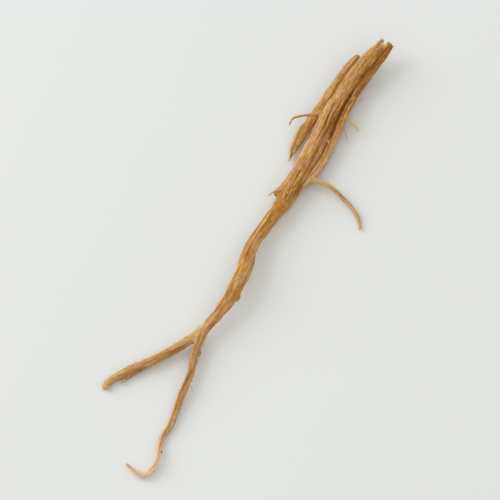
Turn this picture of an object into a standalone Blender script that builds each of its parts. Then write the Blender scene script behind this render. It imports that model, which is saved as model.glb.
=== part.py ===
"""A dried ginseng root, lying on its side.

A furrowed main strand has a thinner strand grown along each flank, a head that broke off unevenly, and a
fork. The left leg has a split tip and the right leg a hooked one, and there are rootlets and low knobs. It
is one grown piece. It rests on a narrow flat spot under the thick part and on low points under both legs.
"""

import math
import random

import bmesh
import bpy
import numpy as np
from mathutils import Vector

MM = 0.001
SEED = 41

# Centre lines from the head end down, in millimetres: x, y, height above the surface and radius.
MAIN_STRAND = [
    (38.9, 67.3, 5.6, 1.5),
    (35.1, 63.4, 4.6, 2.35),
    (30.3, 57.3, 3.4, 2.8),
    (26.1, 50.7, 2.7, 2.9),
    (22.5, 43.2, 2.5, 2.9),
    (19.2, 35.7, 2.45, 2.85),
    (15.3, 28.2, 2.5, 2.95),
    (11.5, 20.9, 2.5, 2.85),
    (9.3, 16.3, 2.55, 2.3),
    (6.6, 12.0, 2.75, 2.0),
    (3.9, 7.8, 3.0, 1.9),
    (1.3, 3.6, 3.2, 2.0),
    (-0.2, -0.7, 3.4, 2.15),
    (-1.4, -5.2, 3.7, 2.2),
    (-3.7, -10.8, 3.8, 2.15),
    (-5.2, -14.0, 3.8, 1.95),
    (-6.8, -16.6, 3.7, 1.85),
    (-9.6, -20.4, 3.3, 1.65),
    (-12.8, -24.3, 2.9, 1.5),
    (-15.2, -26.9, 2.5, 1.1),
]
LEFT_STRAND = [
    (31.9, 64.6, 4.9, 0.9),
    (28.3, 59.9, 4.2, 1.45),
    (24.6, 54.2, 3.4, 1.6),
    (21.2, 48.9, 2.9, 1.6),
    (18.6, 45.2, 2.6, 1.45),
    (16.5, 41.5, 2.2, 1.35),
    (14.7, 37.9, 1.8, 1.1),
    (13.2, 35.0, 1.5, 0.8),
    (12.7, 33.3, 1.4, 0.5),
]
LEFT_FIBRE = [
    (17.2, 43.9, 2.3, 0.7),
    (14.3, 40.6, 2.2, 0.7),
    (12.8, 37.0, 1.8, 0.62),
    (12.0, 33.8, 1.4, 0.55),
    (11.6, 31.5, 1.2, 0.35),
]
RIGHT_STRAND = [
    (41.2, 68.2, 4.9, 1.25),
    (38.5, 64.2, 4.4, 1.4),
    (35.1, 59.2, 3.8, 1.45),
    (31.6, 54.3, 3.3, 1.45),
    (28.8, 49.0, 3.0, 1.45),
    (26.2, 42.9, 2.6, 1.4),
    (23.8, 36.6, 2.3, 1.4),
    (21.0, 30.5, 2.2, 1.35),
    (17.6, 25.1, 2.5, 1.15),
    (13.9, 20.6, 2.9, 0.8),
]
HEAD_CREST = [
    (36.9, 64.4, 5.2, 1.0),
    (38.2, 67.8, 5.8, 0.95),
    (38.7, 69.5, 6.0, 0.6),
]
LEFT_LEG = [
    (-9.4, -19.6, 3.4, 1.15),
    (-14.0, -24.9, 2.8, 1.4),
    (-19.3, -28.9, 2.3, 1.4),
    (-24.3, -31.7, 1.85, 1.4),
    (-28.2, -33.9, 1.5, 1.45),
    (-31.8, -35.3, 1.25, 1.35),
    (-35.2, -37.0, 1.05, 1.3),
    (-37.8, -38.7, 0.95, 1.1),
    (-39.8, -40.2, 0.9, 0.95),
    (-41.2, -42.1, 0.8, 0.65),
]
SPLIT_PRONG = [
    (-29.6, -34.9, 1.4, 0.85),
    (-33.2, -37.4, 1.1, 0.7),
    (-36.0, -40.0, 0.8, 0.35),
]
RIGHT_LEG = [
    (-8.2, -19.2, 3.3, 1.1),
    (-12.8, -24.8, 2.8, 1.35),
    (-15.1, -30.6, 2.5, 1.25),
    (-16.4, -36.9, 2.1, 1.15),
    (-19.2, -44.8, 1.5, 1.15),
    (-21.6, -51.8, 0.9, 1.05),
    (-22.6, -54.2, 0.85, 0.98),
    (-24.2, -56.8, 0.85, 0.87),
    (-25.4, -60.8, 1.2, 0.76),
    (-25.7, -64.0, 1.3, 0.85),
    (-26.8, -67.0, 1.1, 0.85),
    (-29.5, -69.1, 1.1, 0.78),
    (-32.0, -68.1, 1.5, 0.7),
    (-34.7, -65.9, 2.1, 0.58),
]
FLANK_ROOTLET = [
    (16.0, 25.2, 2.3, 1.0),
    (20.4, 23.9, 2.6, 0.8),
    (23.7, 22.0, 2.4, 0.75),
    (26.6, 19.2, 1.9, 0.7),
    (29.4, 16.2, 1.2, 0.65),
    (31.3, 12.9, 0.7, 0.55),
    (31.9, 9.6, 0.45, 0.45),
]
CROSSING_ROOTLET = [
    (21.4, 45.6, 4.2, 0.55),
    (18.4, 45.2, 4.2, 0.45),
    (15.4, 45.3, 3.3, 0.42),
    (12.8, 44.9, 2.4, 0.4),
    (11.6, 42.8, 1.9, 0.32),
]
PALE_ROOTLET = [
    (27.0, 46.4, 2.8, 0.5),
    (29.4, 43.9, 2.6, 0.38),
    (31.9, 41.0, 1.8, 0.3),
]

# Knobs where a rootlet once grew or broke off: x, y, height and radius.
KNOBS = [
    (8.3, 20.4, 3.0, 1.15),
    (-3.4, -14.3, 3.6, 0.9),
    (-14.35, -31.7, 2.6, 0.7),
    (-24.95, -62.2, 1.35, 0.6),
    (37.9, 65.9, 6.3, 0.8),
]
# Knobs are drawn out along the root, in this direction and by this much.
KNOB_RUN = (0.45, 0.89, 0.0)
KNOB_STRETCH = 1.6

# Stubs are the shortest rootlets, drawn by rule along this share of the strands and legs.
STUB_SEED = 5
STUB_COUNT = 9
STUB_SPAN = (0.15, 0.72)
STUB_RADIUS = (0.28, 0.42)
STUB_LENGTH = (1.4, 3.6)
STUB_SINK = 0.9

# Furrows of the dried skin: half width as an angle, and half length in millimetres. Swells are a share of
# the radius.
FURROW_WIDTH = (0.15, 0.26)
FURROW_LENGTH = (24.0, 60.0)
SWELL = 0.045

# Slivers thinner than this, in millimetres, are dissolved where strands meet.
SLIVER = 0.03


def smooth_line(points, spacing):
    """Evenly spaced rows of x, y, z and radius on the smooth line through the points."""
    knots = np.array(points, dtype=float)
    ends = [2 * knots[0] - knots[1]], [2 * knots[-1] - knots[-2]]
    knots = np.concatenate([ends[0], knots, ends[1]])
    rows = []
    for i in range(1, len(knots) - 2):
        before, start, stop, after = knots[i - 1 : i + 3]
        for t in np.arange(0.0, 1.0, 0.05):
            a = 2 * start
            b = (stop - before) * t
            c = (2 * before - 5 * start + 4 * stop - after) * t**2
            d = (3 * start - before - 3 * stop + after) * t**3
            rows.append(0.5 * (a + b + c + d))
    rows.append(knots[-2])
    rows = np.array(rows)
    steps = np.linalg.norm(np.diff(rows[:, :3], axis=0), axis=1)
    along = np.concatenate([[0.0], np.cumsum(steps)])
    count = max(3, int(round(along[-1] / spacing)) + 1)
    even = np.linspace(0.0, along[-1], count)
    return even, np.stack([np.interp(even, along, rows[:, k]) for k in range(4)], axis=1)


def draw_furrows(rng, count, length, depth):
    """Furrows that run along a strand: each wanders a little round it and fades out at both its ends."""
    furrows = []
    for i in range(count):
        reach = rng.uniform(*FURROW_LENGTH)
        middle = rng.uniform(0.0, length)
        furrows.append(
            {
                "angle": 2 * math.pi * (i + rng.uniform(-0.35, 0.35)) / count,
                "wander": rng.uniform(0.1, 0.35),
                "wave": rng.uniform(18.0, 40.0),
                "phase": rng.uniform(0.0, 2 * math.pi),
                "depth": depth * rng.uniform(0.5, 1.0),
                "width": rng.uniform(*FURROW_WIDTH),
                "from": middle - reach,
                "to": middle + reach,
            }
        )
    return furrows


def fade(value, start, stop):
    """Rises smoothly from 0 at start to 1 at stop."""
    t = min(1.0, max(0.0, (value - start) / (stop - start)))
    return t * t * (3 - 2 * t)


def kept_share(angle, along, length, furrows):
    """Share of the radius that is left at this angle and distance, with furrows and slow swells."""
    share = 1.0
    for f in furrows:
        centre = f["angle"] + f["wander"] * math.sin(2 * math.pi * along / f["wave"] + f["phase"])
        off = (angle - centre + math.pi) % (2 * math.pi) - math.pi
        here = fade(along, f["from"], f["from"] + 6.0) * (1 - fade(along, f["to"] - 6.0, f["to"]))
        share -= f["depth"] * here * math.exp(-(abs(off / f["width"]) ** 1.6))
    share += SWELL * math.sin(2 * math.pi * along / 13.0 + 2.0 * math.sin(angle))
    return share + 0.5 * SWELL * math.sin(2 * math.pi * along / 5.3 + 3.0 * math.cos(angle) + length)


def strand(name, points, sides, spacing, furrows, cut_ends, into):
    """Lofted strand: furrowed rings round the centre line, with ends cut blunt or drawn to a round tip."""
    along, rows = smooth_line(points, spacing)
    length = along[-1]
    mesh = bmesh.new()
    rings = []
    for i, (x, y, z, radius) in enumerate(rows):
        ahead = rows[min(i + 1, len(rows) - 1), :3] - rows[max(i - 1, 0), :3]
        tangent = Vector(ahead).normalized()
        side = tangent.cross(Vector((0, 0, 1))).normalized()
        up = side.cross(tangent)
        for end, distance in enumerate((along[i], length - along[i])):
            inset = max(0.0, 1 - distance / (0.35 * radius if cut_ends[end] else 1.1 * radius))
            radius *= 1 - 0.3 * inset**2 if cut_ends[end] else math.sqrt(max(0.12, 1 - inset**2))
        ring = []
        for k in range(sides):
            angle = 2 * math.pi * k / sides
            reach = radius * kept_share(angle, along[i], length, furrows)
            offset = side * math.cos(angle) + up * math.sin(angle)
            ring.append(mesh.verts.new((Vector((x, y, z)) + offset * reach) * MM))
        rings.append(ring)
    for near, far in zip(rings, rings[1:]):
        for k in range(sides):
            mesh.faces.new((near[k], near[(k + 1) % sides], far[(k + 1) % sides], far[k]))
    for ring, end, inner in ((rings[0], rows[0], rows[1]), (rings[-1], rows[-1], rows[-2])):
        outwards = Vector(end[:3] - inner[:3]).normalized()
        middle = mesh.verts.new(sum((v.co for v in ring), Vector()) / sides + outwards * (0.25 * end[3] * MM))
        for k in range(sides):
            mesh.faces.new((ring[k], ring[(k + 1) % sides], middle))
    return finish(mesh, name, into)


def finish(mesh, name, into):
    """Turns the mesh into an object of the collection, with its faces facing outwards."""
    bmesh.ops.recalc_face_normals(mesh, faces=mesh.faces[:])
    data = bpy.data.meshes.new(name)
    mesh.to_mesh(data)
    mesh.free()
    obj = bpy.data.objects.new(name, data)
    into.objects.link(obj)
    return obj


def knob(name, place, radius, into):
    """Low knob, drawn out along the root and mostly sunk into the strand that it grows from."""
    mesh = bmesh.new()
    bmesh.ops.create_icosphere(mesh, subdivisions=1, radius=radius * MM)
    run = Vector(KNOB_RUN).normalized()
    for v in mesh.verts:
        v.co += run * (v.co.dot(run) * (KNOB_STRETCH - 1)) + Vector(place) * MM
    return finish(mesh, name, into)


def draw_stubs(rng, hosts, into):
    """Short tapering rootlets that leave their strand sideways and bend on towards its tip."""
    for n in range(STUB_COUNT):
        points = hosts[n % len(hosts)]
        along, rows = smooth_line(points, 1.0)
        i = int(len(rows) * rng.uniform(*STUB_SPAN))
        x, y, z, radius = rows[i]
        tangent = Vector(rows[i + 1, :3] - rows[i - 1, :3]).normalized()
        side = tangent.cross(Vector((0, 0, 1))).normalized() * rng.choice((-1, 1))
        lift = rng.uniform(0.0, 0.7)
        bend = rng.uniform(-0.3, 1.1)
        out = (side * math.cos(lift) + Vector((0, 0, math.sin(lift)))).normalized()
        root = Vector((x, y, z)) + out * (radius - STUB_SINK)
        thick = rng.uniform(*STUB_RADIUS)
        reach = rng.uniform(*STUB_LENGTH)
        path = []
        for step in range(4):
            t = step / 3
            place = root + out * (reach * t) + tangent * (bend * reach * t * t)
            place.z = max(thick, place.z - 0.4 * reach * t * t)
            path.append((*place, thick * (1 - 0.45 * t)))
        strand(f"stub_{n}", path, 6, 0.9, [], (True, False), into)


def new_collection(name):
    collection = bpy.data.collections.new(name)
    bpy.context.scene.collection.children.link(collection)
    return collection


def apply_boolean(target, operation, operand):
    """Joins or cuts the target with a collection or an object, for good."""
    modifier = target.modifiers.new("join", "BOOLEAN")
    modifier.operation = operation
    modifier.solver = "EXACT"
    if isinstance(operand, bpy.types.Collection):
        modifier.operand_type = "COLLECTION"
        modifier.collection = operand
    else:
        modifier.object = operand
    bpy.context.view_layer.objects.active = target
    bpy.ops.object.modifier_apply(modifier=modifier.name)


def fill_pockets(obj):
    """Keeps the outer skin only, which fills the pockets that touching strands close off between them."""
    mesh = bmesh.new()
    mesh.from_mesh(obj.data)
    waiting = set(mesh.faces)
    skins = []
    while waiting:
        reached = [waiting.pop()]
        for face in reached:
            for edge in face.edges:
                for other in edge.link_faces:
                    if other in waiting:
                        waiting.remove(other)
                        reached.append(other)
        skins.append(reached)
    skins.sort(key=len)
    spare = [face for skin in skins[:-1] for face in skin]
    bmesh.ops.delete(mesh, geom=spare, context="FACES")
    bmesh.ops.dissolve_degenerate(mesh, dist=SLIVER * MM, edges=mesh.edges[:])
    mesh.to_mesh(obj.data)
    mesh.free()


def material(name, colour, roughness):
    made = bpy.data.materials.new(name)
    made.use_nodes = True
    shader = made.node_tree.nodes["Principled BSDF"]
    shader.inputs["Base Color"].default_value = (*colour, 1.0)
    shader.inputs["Roughness"].default_value = roughness
    return made


def build():
    for obj in list(bpy.data.objects):
        bpy.data.objects.remove(obj, do_unlink=True)
    product = new_collection("dried_ginseng_root")
    pieces = new_collection("grown_pieces")
    cutters = new_collection("cutters")
    rng = random.Random(SEED)

    root = strand("root", MAIN_STRAND, 34, 1.8, draw_furrows(rng, 9, 113.0, 0.27), (True, False), product)
    # Name, centre line, sides, ring spacing, furrow count and depth, and which ends are cut blunt.
    limbs = (
        ("left_strand", LEFT_STRAND, 14, 1.5, 4, 0.22, (False, False)),
        ("right_strand", RIGHT_STRAND, 14, 1.5, 4, 0.22, (True, False)),
        ("left_fibre", LEFT_FIBRE, 8, 1.3, 0, 0.0, (False, False)),
        ("head_crest", HEAD_CREST, 10, 1.0, 2, 0.2, (False, True)),
        ("left_leg", LEFT_LEG, 16, 1.4, 5, 0.25, (False, False)),
        ("split_prong", SPLIT_PRONG, 8, 1.2, 2, 0.15, (False, False)),
        ("right_leg", RIGHT_LEG, 16, 1.3, 5, 0.22, (False, False)),
        ("flank_rootlet", FLANK_ROOTLET, 8, 1.3, 0, 0.0, (False, True)),
        ("crossing_rootlet", CROSSING_ROOTLET, 6, 1.2, 0, 0.0, (False, False)),
        ("pale_rootlet", PALE_ROOTLET, 6, 1.2, 0, 0.0, (False, False)),
    )
    for name, points, sides, spacing, count, depth, cut_ends in limbs:
        furrows = draw_furrows(rng, count, 45.0, depth)
        strand(name, points, sides, spacing, furrows, cut_ends, pieces)
    for n, (x, y, z, radius) in enumerate(KNOBS):
        knob(f"knob_{n}", (x, y, z), radius, pieces)
    draw_stubs(random.Random(STUB_SEED), (MAIN_STRAND, LEFT_LEG, RIGHT_STRAND, RIGHT_LEG), pieces)
    apply_boolean(root, "UNION", pieces)
    for obj in list(pieces.objects):
        bpy.data.objects.remove(obj, do_unlink=True)

    bpy.ops.mesh.primitive_cube_add(size=1.0, location=(0, 0, -0.01))
    below = bpy.context.object
    below.name = "below_surface"
    below.scale = (0.3, 0.3, 0.02)
    for owner in list(below.users_collection):
        owner.objects.unlink(below)
    cutters.objects.link(below)
    below.hide_render = True
    below.display_type = "WIRE"
    apply_boolean(root, "DIFFERENCE", below)
    bpy.data.objects.remove(below, do_unlink=True)
    fill_pockets(root)

    corners = np.array([v.co[:] for v in root.data.vertices])
    low, high = corners.min(axis=0), corners.max(axis=0)
    middle = Vector(((low[0] + high[0]) / 2, (low[1] + high[1]) / 2, low[2]))
    for v in root.data.vertices:
        v.co -= middle
    for face in root.data.polygons:
        face.use_smooth = True
    root.data.materials.append(material("dried_root", (0.46, 0.25, 0.1), 0.6))


build()
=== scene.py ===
import itertools
import math
import random

import bmesh
import bpy
import numpy as np
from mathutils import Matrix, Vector


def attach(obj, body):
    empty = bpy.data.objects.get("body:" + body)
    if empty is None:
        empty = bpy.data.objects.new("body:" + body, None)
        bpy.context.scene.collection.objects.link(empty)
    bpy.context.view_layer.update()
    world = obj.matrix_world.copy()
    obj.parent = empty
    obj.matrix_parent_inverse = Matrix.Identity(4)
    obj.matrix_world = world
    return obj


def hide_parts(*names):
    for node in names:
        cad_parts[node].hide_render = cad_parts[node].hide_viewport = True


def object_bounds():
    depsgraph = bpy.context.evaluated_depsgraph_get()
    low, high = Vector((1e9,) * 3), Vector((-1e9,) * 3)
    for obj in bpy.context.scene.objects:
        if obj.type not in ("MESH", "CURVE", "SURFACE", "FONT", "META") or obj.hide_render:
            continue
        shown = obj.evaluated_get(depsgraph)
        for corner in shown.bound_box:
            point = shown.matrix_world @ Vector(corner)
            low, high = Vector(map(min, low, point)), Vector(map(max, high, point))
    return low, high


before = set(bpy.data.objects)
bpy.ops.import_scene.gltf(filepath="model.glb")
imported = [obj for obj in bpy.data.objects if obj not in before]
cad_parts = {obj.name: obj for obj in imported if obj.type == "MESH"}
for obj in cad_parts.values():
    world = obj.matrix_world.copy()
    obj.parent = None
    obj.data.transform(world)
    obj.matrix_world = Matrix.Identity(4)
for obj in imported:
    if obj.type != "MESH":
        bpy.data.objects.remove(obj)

MM = 0.001
cad_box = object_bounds()

# The form, in millimetres: the solid's centre lines, radii and furrows. Only the tip of the left leg is a
# little stouter here. A row holds x, y, height and radius.
SEED = 41
MAIN_STRAND = [
    (38.9, 67.3, 5.6, 1.5),
    (35.1, 63.4, 4.6, 2.35),
    (30.3, 57.3, 3.4, 2.8),
    (26.1, 50.7, 2.7, 2.9),
    (22.5, 43.2, 2.5, 2.9),
    (19.2, 35.7, 2.45, 2.85),
    (15.3, 28.2, 2.5, 2.95),
    (11.5, 20.9, 2.5, 2.85),
    (9.3, 16.3, 2.55, 2.3),
    (6.6, 12.0, 2.75, 2.0),
    (3.9, 7.8, 3.0, 1.9),
    (1.3, 3.6, 3.2, 2.0),
    (-0.2, -0.7, 3.4, 2.15),
    (-1.4, -5.2, 3.7, 2.2),
    (-3.7, -10.8, 3.8, 2.15),
    (-5.2, -14.0, 3.8, 1.95),
    (-6.8, -16.6, 3.7, 1.85),
    (-9.6, -20.4, 3.3, 1.65),
    (-12.8, -24.3, 2.9, 1.5),
    (-15.2, -26.9, 2.5, 1.1),
]
LEFT_STRAND = [
    (31.9, 64.6, 4.9, 0.9),
    (28.3, 59.9, 4.2, 1.45),
    (24.6, 54.2, 3.4, 1.6),
    (21.2, 48.9, 2.9, 1.6),
    (18.6, 45.2, 2.6, 1.45),
    (16.5, 41.5, 2.2, 1.35),
    (14.7, 37.9, 1.8, 1.1),
    (13.2, 35.0, 1.5, 0.8),
    (12.7, 33.3, 1.4, 0.5),
]
LEFT_FIBRE = [
    (17.2, 43.9, 2.3, 0.7),
    (14.3, 40.6, 2.2, 0.7),
    (12.8, 37.0, 1.8, 0.62),
    (12.0, 33.8, 1.4, 0.55),
    (11.6, 31.5, 1.2, 0.35),
]
RIGHT_STRAND = [
    (41.2, 68.2, 4.9, 1.25),
    (38.5, 64.2, 4.4, 1.4),
    (35.1, 59.2, 3.8, 1.45),
    (31.6, 54.3, 3.3, 1.45),
    (28.8, 49.0, 3.0, 1.45),
    (26.2, 42.9, 2.6, 1.4),
    (23.8, 36.6, 2.3, 1.4),
    (21.0, 30.5, 2.2, 1.35),
    (17.6, 25.1, 2.5, 1.15),
    (13.9, 20.6, 2.9, 0.8),
]
HEAD_CREST = [
    (36.9, 64.4, 5.2, 1.0),
    (38.2, 67.8, 5.8, 0.95),
    (38.7, 69.5, 6.0, 0.6),
]
LEFT_LEG = [
    (-9.4, -19.6, 3.4, 1.15),
    (-14.0, -24.9, 2.8, 1.4),
    (-19.3, -28.9, 2.3, 1.4),
    (-24.3, -31.7, 1.85, 1.4),
    (-28.2, -33.9, 1.5, 1.45),
    (-31.8, -35.3, 1.25, 1.35),
    (-35.2, -37.0, 1.05, 1.3),
    (-37.9, -38.4, 0.95, 1.2),
    (-39.9, -40.1, 0.9, 1.05),
    (-41.1, -41.9, 0.8, 0.85),
]
SPLIT_PRONG = [
    (-29.6, -34.9, 1.4, 0.85),
    (-33.2, -37.4, 1.1, 0.7),
    (-36.0, -40.0, 0.8, 0.35),
]
RIGHT_LEG = [
    (-8.2, -19.2, 3.3, 1.1),
    (-12.8, -24.8, 2.8, 1.35),
    (-15.1, -30.6, 2.5, 1.25),
    (-16.4, -36.9, 2.1, 1.15),
    (-19.2, -44.8, 1.5, 1.15),
    (-21.6, -51.8, 0.9, 1.05),
    (-22.6, -54.2, 0.85, 0.98),
    (-24.2, -56.8, 0.85, 0.87),
    (-25.4, -60.8, 1.2, 0.76),
    (-25.7, -64.0, 1.3, 0.85),
    (-26.8, -67.0, 1.1, 0.85),
    (-29.5, -69.1, 1.1, 0.78),
    (-32.0, -68.1, 1.5, 0.7),
    (-34.7, -65.9, 2.1, 0.58),
]
FLANK_ROOTLET = [
    (16.0, 25.2, 2.3, 1.0),
    (20.4, 23.9, 2.6, 0.8),
    (23.7, 22.0, 2.4, 0.75),
    (26.6, 19.2, 1.9, 0.7),
    (29.4, 16.2, 1.2, 0.65),
    (31.3, 12.9, 0.7, 0.55),
    (31.9, 9.6, 0.45, 0.45),
]
CROSSING_ROOTLET = [
    (21.4, 45.6, 4.2, 0.55),
    (18.4, 45.2, 4.2, 0.45),
    (15.4, 45.3, 3.3, 0.42),
    (12.8, 44.9, 2.4, 0.4),
    (11.6, 42.8, 1.9, 0.32),
]
PALE_ROOTLET = [
    (27.0, 46.4, 2.8, 0.5),
    (29.4, 43.9, 2.6, 0.38),
    (31.9, 41.0, 1.8, 0.3),
]
KNOBS = [
    (8.3, 20.4, 3.0, 1.15),
    (-3.4, -14.3, 3.6, 0.9),
    (-14.35, -31.7, 2.6, 0.7),
    (-24.95, -62.2, 1.35, 0.6),
    (37.9, 65.9, 6.3, 0.8),
]
KNOB_RUN = (0.45, 0.89, 0.0)
KNOB_STRETCH = 1.6
# The shortest rootlets, drawn by rule.
STUB_SEED = 5
STUB_COUNT = 9
STUB_SPAN = (0.15, 0.72)
STUB_RADIUS = (0.28, 0.42)
STUB_LENGTH = (1.4, 3.6)
STUB_SINK = 0.9
STUB_LIFT = (0.0, 0.7)
STUB_BEND = (-0.3, 1.1)
STUB_DROOP = 0.4
STUB_TAPER = 0.45
FURROW_WIDTH = (0.15, 0.26)
FURROW_LENGTH = (24.0, 60.0)
FURROW_FADE = 6.0
# How far a strand swells and narrows, as a share of its radius, and the lengths of its two waves.
SWELL = 0.045
SWELL_WAVES = (13.0, 5.3)
# Shares of the radius: how far from a cut end a strand starts to narrow and by how much, how far from a round
# end it starts to narrow and the least that is left, and how far each end bulges.
CUT_REACH = 0.35
CUT_NARROWING = 0.3
ROUND_REACH = 1.1
ROUND_LEAST = 0.12
END_BULGE = 0.25
# Where the solid's box is centred, in the coordinates above.
CENTRE = np.array([0.2544, -0.0955, 0.0])

# Corners round a strand and the distance between its rings.
MAIN_GRID = (72, 0.5)
STRAND_GRID = (40, 0.4)
STUB_GRID = (16, 0.3)
# Stretch of a strand over which the middles of its furrows are drawn.
MAIN_RUN = 113.0
STRAND_RUN = 45.0
# Edge of the cells in which the strands are fused into one skin.
VOXEL = 0.21

# The strands, in the order in which they are listed and built.
MAIN, LEFT, RIGHT, FIBRE, CREST, LEG_LEFT, PRONG, LEG_RIGHT, FLANK, CROSSING, PALE = range(11)
# Centre line, number and depth of the furrows, and whether its first and last end are cut square.
STRANDS = (
    (MAIN_STRAND, 9, 0.27, (True, False)),
    (LEFT_STRAND, 4, 0.22, (False, True)),
    (RIGHT_STRAND, 4, 0.22, (True, False)),
    (LEFT_FIBRE, 0, 0.0, (False, True)),
    (HEAD_CREST, 2, 0.2, (False, True)),
    (LEFT_LEG, 5, 0.25, (False, True)),
    (SPLIT_PRONG, 2, 0.15, (False, True)),
    (RIGHT_LEG, 5, 0.22, (False, False)),
    (FLANK_ROOTLET, 0, 0.0, (False, True)),
    (CROSSING_ROOTLET, 0, 0.0, (False, False)),
    (PALE_ROOTLET, 0, 0.0, (False, False)),
)
STUB_HOSTS = (MAIN_STRAND, LEFT_LEG, RIGHT_STRAND, RIGHT_LEG)
# Strands with a coarser skin than the main strand's, and how much coarser.
COARSENESS = {RIGHT: 1.35, LEG_LEFT: 1.35, PRONG: 1.3, LEG_RIGHT: 1.1, FIBRE: 1.2}
# How strongly and how often the fused skin, its junctions and its torn places are evened out.
SKIN_EASE, SKIN_ROUNDS = 0.5, 3
JUNCTION_EASE, JUNCTION_ROUNDS = 0.6, 5
TORN_EASE, TORN_ROUNDS = 0.4, 2
# How wide the rounded junctions, the grooves and the slit between two strands are.
JUNCTION_WIDTH = 0.45
GROOVE_WIDTH = 0.4
SLIT_WIDTH = 0.5
# Over what distance one strand's skin passes into the next one's, and the least weight that counts.
BLEND = 0.25
LEAST_WEIGHT = 0.02
# Along the right strand, the slit opens from the first distance to the second and closes from the third to
# the fourth.
SLIT = (14.0, 20.0, 33.0, 42.0)
SLIT_DEPTH = 0.6
# From where to where along the left leg the torn part gets rough, and how deep its notches are.
TORN = (22.0, 28.0)
TORN_DEPTH = 0.22
# Sizes of the two noises that tear the broken ends, how far the tear reaches from the end and how deep it is.
TEAR_CELLS = (0.75, 0.4)
TEAR_REACH = (0.2, 1.3)
TEAR_DEPTH = 0.45
# How dark the painted shade in grooves and in the slit is, and how dark small knobs and scars are. 1 is the
# painted shade of a deep fold, and 1.5 is the darkest there is.
GROOVE_SHADE = 1.1
SLIT_SHADE = 1.5
KNOB_DARK = 1.5
SCAR_DARK = 1.4
# A knob with a smaller radius is dark.
SMALL_KNOB = 0.75
# Dark scars: x, y, height and radius.
DARK_SPOTS = [
    (-31.2, -37.0, 1.0, 0.65),
    (-29.9, -36.2, 0.7, 0.5),
    (-23.3, -52.0, 0.8, 0.5),
    (-37.6, -37.3, 1.2, 0.5),
]
# Strands that broke off unevenly, and whether it was at the last row instead of the first.
BROKEN_ENDS = (
    (MAIN, False),
    (RIGHT, False),
    (CREST, True),
    (LEFT, True),
    (FIBRE, True),
    (LEG_LEFT, True),
    (PRONG, True),
)


def smooth_line(points, spacing):
    """Evenly spaced rows of x, y, z and radius on the smooth line through the points."""
    knots = np.array(points, dtype=float)
    ends = [2 * knots[0] - knots[1]], [2 * knots[-1] - knots[-2]]
    knots = np.concatenate([ends[0], knots, ends[1]])
    rows = []
    for i in range(1, len(knots) - 2):
        before, start, stop, after = knots[i - 1 : i + 3]
        for t in np.arange(0.0, 1.0, 0.05):
            a = 2 * start
            b = (stop - before) * t
            c = (2 * before - 5 * start + 4 * stop - after) * t**2
            d = (3 * start - before - 3 * stop + after) * t**3
            rows.append(0.5 * (a + b + c + d))
    rows.append(knots[-2])
    rows = np.array(rows)
    steps = np.linalg.norm(np.diff(rows[:, :3], axis=0), axis=1)
    along = np.concatenate([[0.0], np.cumsum(steps)])
    count = max(3, int(round(along[-1] / spacing)) + 1)
    even = np.linspace(0.0, along[-1], count)
    return even, np.stack([np.interp(even, along, rows[:, k]) for k in range(4)], axis=1)


def draw_furrows(rng, count, length, depth):
    """Furrows that run along a strand: each wanders a little round it and fades out at both its ends."""
    furrows = []
    for i in range(count):
        reach = rng.uniform(*FURROW_LENGTH)
        middle = rng.uniform(0.0, length)
        furrows.append(
            {
                "angle": 2 * math.pi * (i + rng.uniform(-0.35, 0.35)) / count,
                "wander": rng.uniform(0.1, 0.35),
                "wave": rng.uniform(18.0, 40.0),
                "phase": rng.uniform(0.0, 2 * math.pi),
                "depth": depth * rng.uniform(0.5, 1.0),
                "width": rng.uniform(*FURROW_WIDTH),
                "from": middle - reach,
                "to": middle + reach,
            }
        )
    return furrows


def fade(value, start, stop):
    """Rises smoothly from 0 at start to 1 at stop."""
    t = np.clip((value - start) / (stop - start), 0.0, 1.0)
    return t * t * (3 - 2 * t)


def kept_share(angle, along, length, furrows):
    """Share of the radius that is left at each angle and distance, with furrows and slow swells."""
    share = np.ones(np.broadcast(angle, along).shape)
    for f in furrows:
        centre = f["angle"] + f["wander"] * np.sin(2 * math.pi * along / f["wave"] + f["phase"])
        off = (angle - centre + math.pi) % (2 * math.pi) - math.pi
        start, stop = f["from"], f["to"]
        here = fade(along, start, start + FURROW_FADE) * (1 - fade(along, stop - FURROW_FADE, stop))
        share = share - f["depth"] * here * np.exp(-(np.abs(off / f["width"]) ** 1.6))
    slow, quick = SWELL_WAVES
    share = share + SWELL * np.sin(2 * math.pi * along / slow + 2.0 * np.sin(angle))
    return share + 0.5 * SWELL * np.sin(2 * math.pi * along / quick + 3.0 * np.cos(angle) + length)


def frames(rows):
    """Tangent, sideways and upward unit vectors at each row of a centre line."""
    ahead = np.empty((len(rows), 3))
    ahead[1:-1] = rows[2:, :3] - rows[:-2, :3]
    ahead[0] = rows[1, :3] - rows[0, :3]
    ahead[-1] = rows[-1, :3] - rows[-2, :3]
    tangent = ahead / np.linalg.norm(ahead, axis=1)[:, None]
    side = np.cross(tangent, (0.0, 0.0, 1.0))
    side /= np.linalg.norm(side, axis=1)[:, None]
    return tangent, side, np.cross(side, tangent)


class Shell:
    """Points and faces gathered from many closed pieces."""

    def __init__(self):
        self.points, self.faces, self.count = [], [], 0

    def add(self, points, faces):
        self.points.append(np.asarray(points, dtype=float))
        self.faces.extend([tuple(int(i) + self.count for i in face) for face in faces])
        self.count += len(points)

    def mesh(self, name):
        data = bpy.data.meshes.new(name)
        data.from_pydata(np.concatenate(self.points).tolist(), [], self.faces)
        data.validate()
        return data


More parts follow.
